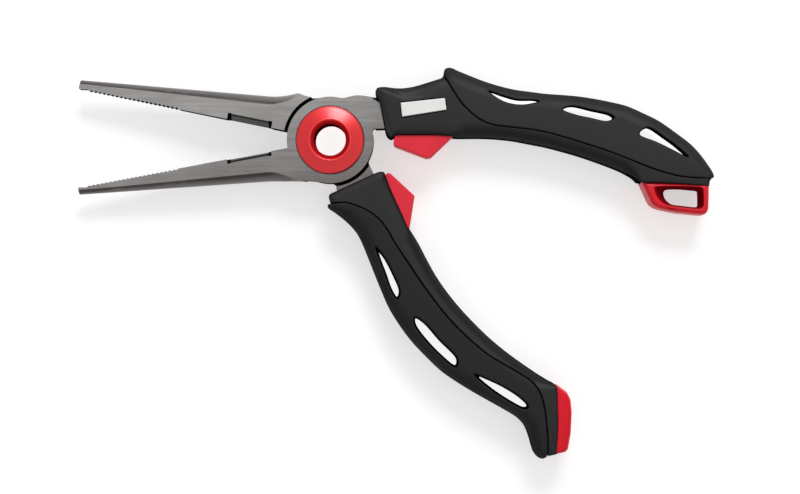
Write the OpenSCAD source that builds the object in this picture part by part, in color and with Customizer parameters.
// Long-nose fishing pliers with a lap joint, a hollow pivot hub and magnets that
// push the handles apart. The pivot axis is +Z through the origin, the halves meet
// at z = 0, the jaws point towards -X and the tool is drawn at its open stop.
// The front half (+Z) has the lower jaw and the upper handle, the rear half the others.

/* [Joint] */
// Radius of the round discs at the lap joint
disc_r = 13.75; // [13.5:0.05:13.9]
// Radius of the recess that clears the other half's disc
recess_r = 14.9; // [14.6:0.1:15.2]
// Thickness of the whole joint
joint_t = 10.4; // [9.6:0.1:11]
// Gap between the two halves at the joint
lap_gap = 0.4; // [0.3:0.05:0.6]
// Radius of the hole through the hub
hub_hole_r = 5.0; // [4:0.1:5.2]
// Radius of the hub flanges
hub_r = 10.7; // [10.4:0.1:10.8]
// Height of the hub's crest above the disc face
hub_crest = 2.6; // [1.8:0.1:3]
// Angle that the jaws turn through from open to closed
closing_angle = 22; // [18:0.5:22]

/* [Jaws] */
// Distance from the pivot to the jaw tips
jaw_len = 82.2; // [76:0.1:90]
// Half thickness of the jaws at the tip
tip_half_t = 1.8; // [1.2:0.1:2.2]
// Radius of the rounded outer side at the tip
tip_r = 1.9; // [1.85:0.05:2.2]
// Growth of the outer side's radius for each mm towards the joint
cone_rate = 0.066; // [0.055:0.001:0.075]
// Gap left between each inner face and the closing line
bite_gap = 0.04; // [0.02:0.01:0.1]
// Distance from the pivot to the first tooth
teeth_from = 48.95; // [45:0.05:55]
// Pitch of the gripping teeth
tooth_pitch = 1.39; // [1:0.01:2]
// Number of gripping teeth on each jaw
tooth_count = 22; // [12:1:22]
// Depth of the gripping teeth
tooth_depth = 0.5; // [0.3:0.05:0.8]
// Distance from the pivot to the near end of the cutter
cutter_from = 20.2; // [19.5:0.1:22]
// Length of the cutter blades
cutter_len = 12.2; // [10:0.1:14]

/* [Handles] */
// Half thickness of the grips
grip_half_t = 7.5; // [7:0.1:8]
// Rounding radius along the edges of the grips
grip_round = 5; // [3:0.25:6]
// Half thickness of the hard core where the soft grip wraps it
tongue_half_t = 4.5; // [4:0.1:5]
// Half width of the steel bar inside each grip
bar_half_w = 3; // [2.5:0.1:3.2]
// Half thickness of the steel bar inside each grip
bar_half_t = 2.6; // [2:0.1:3]
// Half thickness of the magnet housings
housing_half_t = 5.6; // [5:0.1:6]
// Length of each magnet
magnet_len = 5.8; // [4:0.2:6]
// Thickness of each magnet
magnet_t = 2.2; // [1.5:0.1:2.3]
// Height of the badge above the collar
badge_h = 0.6; // [0.3:0.05:0.8]
// Gap between pieces that nest in each other
nest = 0.03; // [0.02:0.01:0.06]

/* [Hidden] */
$fn = 96;

steel_grey = "#8f8c89";
blade_grey = "#4c4a48";
hub_red = "#d2202f";
washer_black = "#151515";
core_grey = "#2d2d31";
soft_black = "#232326";
housing_red = "#d22d3c";
magnet_grey = "#b9bcc0";
cap_red = "#c8192d";

face_z = joint_t / 2;             // outer face of the joint
lap_z = lap_gap / 2;              // inner face of each half
over = 1;                         // how far a cut runs past the face it opens
lower_line = 10.5;                // angle of the lower jaw's inner face, below -X
upper_line = closing_angle - lower_line;  // angle of the upper jaw's, above -X

// ---------- curves and outlines: lists of [x, y] points ----------
function catmull_rom(before, start, end, after, t) =
    0.5 * (2 * start + (end - before) * t
    + (2 * before - 5 * start + 4 * end - after) * t * t
    + (3 * start - before - 3 * end + after) * t * t * t);
function open_curve(points, steps) = let (last = len(points) - 1) concat(
    [for (i = [0:last - 1]) for (k = [0:steps - 1])
        catmull_rom(points[max(i - 1, 0)], points[i], points[i + 1],
            points[min(i + 2, last)], k / steps)],
    [points[last]]);
function closed_curve(points, steps) = let (count = len(points))
    [for (i = [0:count - 1]) for (k = [0:steps - 1])
        catmull_rom(points[(i + count - 1) % count], points[i],
            points[(i + 1) % count], points[(i + 2) % count], k / steps)];

function unit(v) = v / norm(v);
function normal_at(points, i) =
    let (along = unit(points[min(i + 1, len(points) - 1)] - points[max(i - 1, 0)]))
    [-along[1], along[0]];
function reversed(points) = [for (i = [len(points) - 1:-1:0]) points[i]];
function shifted(points, distance) =
    [for (i = [0:len(points) - 1]) points[i] + distance * normal_at(points, i)];
function ribbon(points, half_w) =
    concat(shifted(points, half_w), reversed(shifted(points, -half_w)));
function scaled(points, centre, factor) = [for (p = points) centre + (p - centre) * factor];
function turned(points, angle) = [for (p = points)
    [p[0] * cos(angle) - p[1] * sin(angle), p[0] * sin(angle) + p[1] * cos(angle)]];
function mirrored(points) = [for (p = points) [p[0], -p[1]]];
function disc_arc(from, to, steps) = [for (i = [0:steps])
    let (angle = from + (to - from) * i / steps) disc_r * [cos(angle), sin(angle)]];

// ---------- extrusions ----------
module slab(z0, z1) {
    translate([0, 0, z0]) linear_extrude(z1 - z0) children();
}
module mid_slab(half_t) {
    slab(-half_t, half_t) children();
}
module through() {
    mid_slab(20) children();
}
// Space for a nested piece
module pocket(half_t, outline) {
    mid_slab(half_t + nest) offset(delta = nest) polygon(outline);
}
// Extrudes an [x, z] outline across the jaw
module across_jaw() {
    translate([0, 40, 0]) rotate([90, 0, 0]) linear_extrude(60) children();
}

// ---------- jaws, in a local frame: +X to the tip, +Y to the outer side ----------
taper_from = 20;                  // where the faces start to taper
turned_from = 10.8;               // near end of the turned outer side
upper_seat = 1.9;                 // depth of the cutter seat in the upper jaw
lower_seat = 1.3;                 // and in the lower jaw
notch_w = 1.2;                    // relief notches at the ends of the seat
notch_z = 1.2;                    // their distance from the middle plane
notch_extra = 0.2;                // their depth below the seat
flare_at = 60.5;                  // where the outer side starts to flare, from the tip
flare_r = 22;                     // radius of that flare
flare_len = 14;

module lower_side() { rotate([0, 0, 180 + lower_line]) children(); }
module upper_side() { rotate([0, 0, 180 - upper_line]) mirror([0, 1, 0]) children(); }

// Half thickness of the tapering part at x from the pivot
function jaw_half_t(x) =
    face_z + (tip_half_t - face_z) * (x - taper_from) / (jaw_len - taper_from);

// Radius of the turned outer side at a distance from the tip
function outer_r(distance, start_r, rate) = start_r + rate * distance
    + flare_r - sqrt(pow(flare_r, 2) - pow(max(distance - flare_at, 0), 2));

// The jaw's side view: parallel at the joint, then tapering to the tip
module taper() {
    end_x = jaw_len + over;
    across_jaw() polygon([[-5, -face_z], [taper_from, -face_z], [end_x, -jaw_half_t(end_x)],
        [end_x, jaw_half_t(end_x)], [taper_from, face_z], [-5, face_z]]);
}

// A slim cone that flares out into the joint. At the tip its axis lies axis_y from the
// closing line, and towards the joint it leans outwards by tilt.
module turned_side(axis_y, tilt, start_r, rate) {
    translate([jaw_len, axis_y, 0]) rotate([0, 0, 180 - tilt]) rotate([0, 90, 0])
        rotate_extrude() polygon(concat(
            [[0, 0], [0.9 * start_r, 0], [start_r, 0.25]],
            [for (h = [20, 40]) [outer_r(h, start_r, rate), h]],
            [for (h = [flare_at:2:flare_at + flare_len]) [outer_r(h, start_r, rate), h]],
            [[0, flare_at + flare_len]]));
}

// What is ground off the plate to make a jaw, and what is cut out of it
module jaw_cuts(axis_y, tilt, start_r, rate, seat) {
    // both faces taper towards the tip
    far_x = jaw_len + 2;
    for (k = [1, -1])
        across_jaw() polygon([[taper_from, k * face_z], [far_x, k * jaw_half_t(far_x)],
            [far_x, k * (face_z + 2)], [taper_from, k * (face_z + 2)]]);
    // outer side, turned to the slim cone
    difference() {
        mid_slab(face_z + over) polygon([
            [turned_from, axis_y + (jaw_len - turned_from) * tan(tilt)],
            [jaw_len + over, axis_y], [jaw_len + over, 20], [turned_from, 20]]);
        turned_side(axis_y, tilt, start_r, rate);
    }
    // seat of the cutter blade, with a relief notch at each end of each face
    mid_slab(face_z + over) translate([cutter_from - nest, -over])
        square([cutter_len + 2 * nest, over + seat + nest]);
    for (x = [cutter_from - 0.5, cutter_from + cutter_len + 0.5])
        for (z = [notch_z, -face_z - 2])
            translate([x - notch_w / 2, -over, z])
                cube([notch_w, over + seat + notch_extra, face_z + 2 - notch_z]);
}

// Zigzag of the gripping teeth
teeth = [for (i = [0:tooth_count - 1]) for (k = [0:1])
    [teeth_from + tooth_pitch * (i + 0.5 * k + 0.25), bite_gap + k * tooth_depth]];

// Outline of a jaw from the joint disc out to the tip along the inner face,
// and back along the points of outer_side
function jaw_edge(outer_side) = concat(
    [[sqrt(disc_r * disc_r - bite_gap * bite_gap), bite_gap]], teeth,
    [[jaw_len - 0.4, bite_gap], [jaw_len - 0.1, bite_gap + 0.3], [jaw_len - 0.1, 6]],
    outer_side);

// Knife-edged insert: both faces are ground back from the cutting edge
module cutter(seat) {
    edge_half_t = 0.15;
    ground_half_t = 3.9;
    back_y = seat - 0.6;
    end_z = face_z + over;
    intersection() {
        taper();
        translate([cutter_from, 0, 0]) rotate([90, 0, 90]) linear_extrude(cutter_len)
            polygon([[bite_gap, edge_half_t], [back_y, ground_half_t], [back_y, end_z],
                [seat, end_z], [seat, -end_z], [back_y, -end_z],
                [back_y, -ground_half_t], [bite_gap, -edge_half_t]]);
    }
}

module front_cutter_blade() { color(blade_grey) lower_side() cutter(lower_seat); }
module rear_cutter_blade() { color(blade_grey) upper_side() cutter(upper_seat); }

// ---------- steel halves ----------
bush_bore = 7.35;
counter_r = 10.98;                // counterbore under the hub flange
counter_depth = 0.6;
counter_z = face_z - counter_depth;

// Bars inside the grips, along their centre lines
upper_bar = ribbon(open_curve([[22, 9.0], [31, 8.6], [45, 7.4], [58, 5.4], [74, 2.4],
    [88, -1.8], [96, -5]], 4), bar_half_w);
lower_bar = ribbon(open_curve([[11.5, -17.5], [16.4, -25], [21.8, -33.5], [26.6, -42],
    [32.8, -50.5], [40, -58.5], [47.4, -66], [54.3, -71.5]], 4), bar_half_w);

// Tangs: the full-thickness plate behind the disc
upper_tang = concat(
    open_curve([[4.6, 13.35], [6.5, 13.85], [8.8, 14.2], [11.2, 14.0]], 4),
    [[15.7, 13.4], [26, 12.6], [27, 12], [27, 4.6], [26, 4], [17.3, 3.65], [14.2, 3.6],
     [13.6, 3.3]]);
lower_tang = [[12.2, -7.3], [13.9, -10.9], [17.2, -18.4], [17.6, -21.4], [17, -22.6],
    [9.4, -24.4], [8, -23.6], [4.6, -19.6], [2.1, -16], [1.8, -14.4]];

// Outer sides of the jaw blanks near the joint, in the jaw's local frame
lower_jaw_back = [[20.2, 11], [18.8, 9.75], [16.7, 10.08], [12, 10.85], [8.4, 11.7], [5, 12.75]];
upper_jaw_back = [[20.2, 14], [12.9, 12.65], [12.1, 12.45], [10.9, 12.2], [9.4, 12.1],
    [8, 12.25], [5, 13.15]];

// Whole plates: jaw, disc and tang
front_plate = concat(
    reversed(turned(jaw_edge(lower_jaw_back), 180 + lower_line)),
    disc_arc(190, 76, 38), upper_tang, disc_arc(12, -96, 36));
rear_plate = concat(
    turned(mirrored(jaw_edge(upper_jaw_back)), 180 - upper_line),
    disc_arc(96, -28, 41), lower_tang, disc_arc(-87, -190, 34));

// One half: the plate, ground by the children and bored, with its bar
module half(is_front, plate, bar) {
    below_z = -face_z - over;
    union() {
        difference() {
            mid_slab(face_z) polygon(plate);
            children();
            // the other half's disc turns in this recess
            translate([0, 0, is_front ? below_z : -lap_z])
                cylinder(r = recess_r, h = face_z + over + lap_z);
            translate([0, 0, below_z]) cylinder(r = bush_bore, h = joint_t + 2 * over);
            translate([0, 0, is_front ? counter_z : below_z])
                cylinder(r = counter_r, h = counter_depth + over);
        }
        mid_slab(bar_half_t) polygon(bar);
    }
}

module front_jaw_half() {
    color(steel_grey) difference() {
        half(true, front_plate, upper_bar)
            lower_side() jaw_cuts(axis_y = 0.53, tilt = 2.56, start_r = tip_r - 0.08,
                rate = cone_rate + 0.003, seat = lower_seat);
        // corner of the tang ground away beside the collar
        translate([11.6, 13.8, face_z]) rotate([0, 0, -25.9]) rotate([-58, 0, 0])
            translate([-1, 0, 0]) cube([9, 8, 8]);
    }
}

module rear_jaw_half() {
    color(steel_grey) half(false, rear_plate, lower_bar)
        upper_side() jaw_cuts(axis_y = 1.2, tilt = 2.8, start_r = tip_r,
            rate = cone_rate, seat = upper_seat);
}

// ---------- hub ----------
bush_r = 7.3;
sleeve_r = 6.2;
sleeve_end_z = -7.4;
nut_bore_r = sleeve_r + 0.02;
washer_bore_r = bush_r + 0.06;
joint_washer_r = 13;
flange_z = counter_z + 0.42;      // underside of the flange
crest_z = face_z + hub_crest;
face_gap = 0.02;                  // gap at each end of the bush and flange washers
lap_washer_gap = 0.03;            // gap on each side of the joint washer

// Outside of a flange, [radius, z]
flange_profile = [[hub_r, flange_z], [hub_r, face_z + 0.75], [hub_r - 0.35, face_z + 1.05],
    [7.1, crest_z - 0.2], [6.7, crest_z], [6.4, crest_z]];

module ring(inner_r, rim_r, z0, z1) {
    translate([0, 0, z0]) rotate_extrude()
        translate([inner_r, 0]) square([rim_r - inner_r, z1 - z0]);
}

module hub_sleeve() {
    color(hub_red) rotate_extrude() polygon(concat(
        [[hub_hole_r, sleeve_end_z + 0.6], [5.9, sleeve_end_z],
         [sleeve_r, sleeve_end_z], [sleeve_r, flange_z]],
        flange_profile, [[hub_hole_r, crest_z - 0.8]]));
}

module hub_nut() {
    color(hub_red) mirror([0, 0, 1]) rotate_extrude() polygon(concat(
        [[nut_bore_r, flange_z]], flange_profile, [[nut_bore_r, crest_z - 0.25]]));
}

module pivot_bush() {
    color("#b08d4a") ring(sleeve_r + 0.03, bush_r, -flange_z + face_gap, flange_z - face_gap);
}

module joint_washer() {
    color("#9a9a9a")
        ring(washer_bore_r, joint_washer_r, -lap_z + lap_washer_gap, lap_z - lap_washer_gap);
}

// Fills the counterbore under the front flange
module flange_washer(rim_gap) {
    ring(washer_bore_r, counter_r - rim_gap, counter_z + face_gap, flange_z - face_gap);
}
module front_flange_washer() { color(washer_black) flange_washer(rim_gap = 0.08); }
module rear_flange_washer() {
    color(washer_black) mirror([0, 0, 1]) flange_washer(rim_gap = 0.1);
}

// ---------- grips ----------
// Stations from the joint to the end: outer point, inner point, share of the thickness
upper_stations = [
    [[15.4, 16.4], [18.9, 1.5], 0.84], [[16.8, 17.2], [20.0, 1.1], 0.97],
    [[22, 17.1], [22.8, 1.4], 1], [[28, 18.0], [28, 1.4], 1],
    [[33, 19.3], [33, 1.3], 1], [[35.6, 19.9], [35.8, 1.1], 1],
    [[36.4, 22.4], [37, 0.9], 1], [[38, 23.4], [39, 0.6], 1],
    [[41, 22.4], [42, 0.6], 1], [[46, 20.2], [45.8, 0.7], 1],
    [[51, 18.6], [50.4, 0.5], 1], [[57, 16.9], [56, 0.1], 1],
    [[63, 15.9], [61.6, -0.6], 1], [[70, 15.2], [68, -2.0], 1],
    [[77, 14.7], [74.4, -3.8], 1], [[84, 13.6], [80.4, -5.5], 1],
    [[91, 12.2], [86, -7.6], 1], [[97, 10.3], [90.4, -9.3], 1],
    [[102.4, 7.7], [93.8, -10.8], 1], [[107.4, 4.8], [96.4, -12.0], 1],
    [[112.4, 1.3], [98, -12.7], 1], [[117, -3.0], [99.2, -13.1], 0.98],
    [[120.2, -6.8], [100, -13.3], 0.95], [[122, -10.8], [100.8, -13.4], 0.92],
    [[121.4, -13.5], [101.6, -13.5], 0.9]];
lower_stations = [
    [[1.7, -16.5], [16.0, -10.2], 0.84], [[0.2, -17.9], [17.3, -10.9], 0.97],
    [[0.3, -19.8], [18.4, -14.0], 1], [[-0.5, -21.3], [19.4, -16.6], 1],
    [[1.4, -22.9], [20.8, -19.6], 1], [[5.2, -25.8], [22.6, -23.5], 1],
    [[8.2, -29.4], [24.6, -27.3], 1], [[10.4, -33.4], [26.8, -30.5], 1],
    [[12.2, -38.2], [29.4, -35.4], 1], [[14.4, -43.8], [32.6, -41.3], 1],
    [[16.8, -49.7], [36.2, -47.0], 1], [[19.4, -55.2], [40.2, -52.3], 1],
    [[23, -60.6], [44.8, -57.4], 1], [[27.8, -66.3], [50.2, -62.7], 1],
    [[33.4, -71.9], [56, -67.5], 1], [[39.8, -76.8], [62, -71.9], 1],
    [[46.6, -81.0], [67.2, -75.3], 1], [[53.4, -84.8], [71.2, -77.8], 1],
    [[59, -88.2], [71.9, -80.4], 1], [[61.9, -91.4], [72.1, -84], 1],
    [[63.4, -94.6], [72.2, -88.6], 0.98], [[64.4, -97.6], [72.2, -93.2], 0.95],
    [[65.7, -100], [72.1, -97.2], 0.92], [[67.6, -101.1], [72, -99.7], 0.88]];

// Rounded rectangle: the cross-section of a grip
function section(half_w, half_t, r) =
    [for (corner = [[1, 1, 0], [-1, 1, 90], [-1, -1, 180], [1, -1, 270]]) for (a = [0:22.5:90])
        [corner[0] * (half_w - r) + r * cos(corner[2] + a),
         corner[1] * (half_t - r) + r * sin(corner[2] + a)]];

// Thin slice of the grip at one station
module slice(station) {
    span = station[0] - station[1];
    middle = (station[0] + station[1]) / 2;
    half_w = norm(span) / 2;
    half_t = grip_half_t * station[2];
    translate([middle[0], middle[1], 0]) rotate([90, 0, atan2(span[1], span[0])])
        linear_extrude(0.3, center = true)
            polygon(section(half_w, half_t, min(grip_round, half_w - 0.6, half_t - 0.6)));
}

module grip_body(stations) {
    for (i = [0:len(stations) - 2])
        hull() {
            slice(stations[i]);
            slice(stations[i + 1]);
        }
}

// The core's thin part under the soft grip, between two station numbers
soft_cover = 2.3;                 // how far it stays inside the outer edge
tongue_share = 0.72;              // how far it reaches across to the inner edge
function tongue(stations, from, to) = concat(
    [for (i = [from:to]) let (outer = stations[i][0])
        outer + soft_cover * unit(stations[i][1] - outer)],
    [for (i = [to:-1:from]) let (outer = stations[i][0])
        outer + tongue_share * (stations[i][1] - outer)]);
upper_tongue = tongue(upper_stations, 9, 22);
lower_tongue = tongue(lower_stations, 6, 18);

// Seams between core and soft grip; the soft grip lies on the outer side
upper_seam = open_curve([[36.2, 20.6], [37.6, 18.2], [41.1, 12.5], [44.2, 9.1], [47.4, 6.6],
    [51.4, 4.8], [57, 4.1], [65.6, 3.0], [74.8, 0.7], [88.8, -3.8], [101, -8.6],
    [109, -11.1], [115, -11.9], [126, -12.3]], 3);
lower_seam = open_curve([[-3, -20.4], [0.4, -20.3], [4.6, -20], [8.4, -21], [12.6, -23],
    [16, -25.8], [18.4, -29], [20.4, -32.6], [25.4, -40.2], [31.2, -48.6], [39, -58.3],
    [49.4, -67.7], [59.8, -73.9], [64.2, -77], [67.1, -81.9], [68.5, -90], [69, -99.3],
    [68.4, -104]], 3);
upper_soft_area = concat(upper_seam, [[140, -12.3], [140, 40], [35.9, 40]]);
lower_soft_area = concat(lower_seam, [[60, -115], [-20, -115], [-20, -20.4]]);

// Control points of the slots through each grip, one row pair per slot
upper_slots = [
    [[50.6, 15.3], [53, 13.1], [56.4, 11.4], [61, 10.8],
     [66, 12], [64.4, 13.3], [59.5, 13.6], [54.6, 14.8]],
    [[73.8, 9.5], [78, 7.8], [82.6, 6.7], [87.6, 5.6],
     [91.2, 7.3], [89.4, 9], [83, 10.1], [77, 11.1]],
    [[98.4, 2.3], [103.2, 0.1], [108.2, -2.1], [113.2, -4.9],
     [110.4, -0.9], [106.4, 2], [101, 4.8]]];
lower_slots = [
    [[15, -34.8], [17.6, -37.8], [20.3, -43], [22.2, -47.8],
     [21.2, -50.4], [19.2, -47.4], [17.4, -42.4], [15.8, -38.2]],
    [[27, -56.2], [30.4, -58.4], [34.8, -63.4], [40.2, -69],
     [39.6, -72], [35.6, -69], [30.6, -63.9], [27, -59]],
    [[46.4, -74.8], [50.4, -76], [55, -78.2], [59.8, -81.2],
     [62.8, -84.2], [61, -85.2], [55.2, -82], [49.8, -78.2]]];

module slots(outlines) {
    for (outline = outlines)
        through() polygon(closed_curve(outline, 4));
}

// ---------- magnet housings: a wedge on the inner side with a tail let into the core ----------
upper_wedge = [[20.4, 1.05], [20.2, -1.4], [20.8, -2.0], [30.4, -5.6], [31.7, -5.4],
    [38.6, 1.05]];
lower_wedge = [[25.3, -28.0], [17.9, -12.2], [18.3, -10.9], [19.1, -10.8], [26.7, -17.8],
    [25.7, -28.0]];
upper_tail = [[23, 0.4], [33, 0.4], [32.4, 3.3], [23.6, 3.3]];
lower_tail = [[19.2, -13.4], [21.6, -18.8], [19.2, -19.3], [17.0, -14.4]];
tail_half_t = 3.4;
magnet_w = 8;                     // size of each magnet along Z
// Places of the magnets: x, y and angle
upper_magnet_place = [28.4, -2.57, -20.5];
lower_magnet_place = [23.27, -17.54, -42.6];

module magnet_box(place, gap) {
    translate([place[0], place[1], 0]) rotate([0, 0, place[2]])
        cube([magnet_len + 2 * gap, magnet_t + 2 * gap, magnet_w + 2 * gap], center = true);
}

module magnet_housing(wedge, tail, place) {
    difference() {
        union() {
            mid_slab(housing_half_t) polygon(wedge);
            mid_slab(tail_half_t) polygon(tail);
        }
        magnet_box(place, nest);
    }
}

module upper_magnet_housing() {
    color(housing_red) magnet_housing(upper_wedge, upper_tail, upper_magnet_place);
}
module lower_magnet_housing() {
    color(housing_red) magnet_housing(lower_wedge, lower_tail, lower_magnet_place);
}
module upper_magnet() { color(magnet_grey) magnet_box(upper_magnet_place, 0); }
module lower_magnet() { color(magnet_grey) magnet_box(lower_magnet_place, 0); }

// ---------- end caps, each with a spigot let into the core ----------
lanyard_outline = [[99.8, -13.75], [121.2, -13.75], [120.6, -19.3], [119.9, -22.6],
    [118.2, -23.8], [110, -23.2], [104.2, -22], [102, -21]];
lanyard_eye = [[106.9, -15.9], [116.2, -16.3], [118, -19], [117, -21.2], [108.9, -20.3],
    [106.2, -17]];
upper_spigot = [[104, -15], [116, -15], [115, -12.9], [105, -12.9]];
end_outline = [[72.35, -78.2], [76.2, -80.9], [76.9, -83.6], [77.1, -87.2], [76.7, -93],
    [75.7, -98.5], [74.8, -99.3], [72.35, -99.8]];
lower_spigot = [[73, -82], [73, -96], [70.6, -95], [70.6, -83]];
spigot_half_t = 3;

// Cap whose faces are bevelled in towards the centre point
module cap_body(outline, half_t, centre) {
    hull() {
        mid_slab(half_t - 1.1) polygon(outline);
        mid_slab(half_t) polygon(scaled(outline, centre, 0.86));
    }
}

module lanyard_cap() {
    color(cap_red) difference() {
        union() {
            cap_body(lanyard_outline, half_t = 6.4, centre = [110.5, -18.5]);
            mid_slab(spigot_half_t) polygon(upper_spigot);
        }
        through() polygon(lanyard_eye);
    }
}

module end_cap() {
    color(cap_red) union() {
        cap_body(end_outline, half_t = 6.6, centre = [74.4, -89]);
        mid_slab(spigot_half_t) polygon(lower_spigot);
    }
}

// ---------- badge: a blank raised plate on the upper collar ----------
badge_outline = [[22.9, 7.2], [36.9, 9.4], [36.4, 13.1], [22.4, 11.6]];
badge_z = grip_half_t - 0.45;     // its sunk underside

module badge() {
    color("#f4f4f2") slab(badge_z, grip_half_t + badge_h) polygon(badge_outline);
}

// ---------- grip cores and soft grips ----------
module core_body(stations, soft_area, tongue_outline) {
    union() {
        difference() {
            grip_body(stations);
            through() offset(delta = nest) polygon(soft_area);
        }
        mid_slab(tongue_half_t) polygon(tongue_outline);
    }
}

// The slots, and space for everything let into a core
module core_cuts(slot_outlines, tang, bar, wedge, tail, spigot) {
    slots(slot_outlines);
    pocket(face_z, tang);
    pocket(bar_half_t, bar);
    pocket(housing_half_t, wedge);
    pocket(tail_half_t, tail);
    pocket(spigot_half_t, spigot);
}

module upper_grip_core() {
    color(core_grey) difference() {
        core_body(upper_stations, upper_soft_area, upper_tongue);
        core_cuts(upper_slots, upper_tang, upper_bar, upper_wedge, upper_tail, upper_spigot);
        slab(badge_z - nest, grip_half_t + 5) offset(delta = nest) polygon(badge_outline);
    }
}

module lower_grip_core() {
    color(core_grey) difference() {
        core_body(lower_stations, lower_soft_area, lower_tongue);
        core_cuts(lower_slots, lower_tang, lower_bar, lower_wedge, lower_tail, lower_spigot);
    }
}

module soft_body(stations, soft_area) {
    intersection() {
        grip_body(stations);
        through() polygon(soft_area);
    }
}

module upper_soft_grip() {
    color(soft_black) difference() {
        soft_body(upper_stations, upper_soft_area);
        pocket(tongue_half_t, upper_tongue);
        slots(upper_slots);
        pocket(bar_half_t, upper_bar);
    }
}

module lower_soft_grip() {
    color(soft_black) difference() {
        soft_body(lower_stations, lower_soft_area);
        pocket(tongue_half_t, lower_tongue);
        slots(lower_slots);
        pocket(face_z, lower_tang);
        pocket(bar_half_t, lower_bar);
    }
}

front_jaw_half();
rear_jaw_half();
front_cutter_blade();
rear_cutter_blade();
hub_sleeve();
hub_nut();
pivot_bush();
joint_washer();
front_flange_washer();
rear_flange_washer();
upper_grip_core();
lower_grip_core();
upper_soft_grip();
lower_soft_grip();
upper_magnet_housing();
lower_magnet_housing();
upper_magnet();
lower_magnet();
lanyard_cap();
end_cap();
badge();
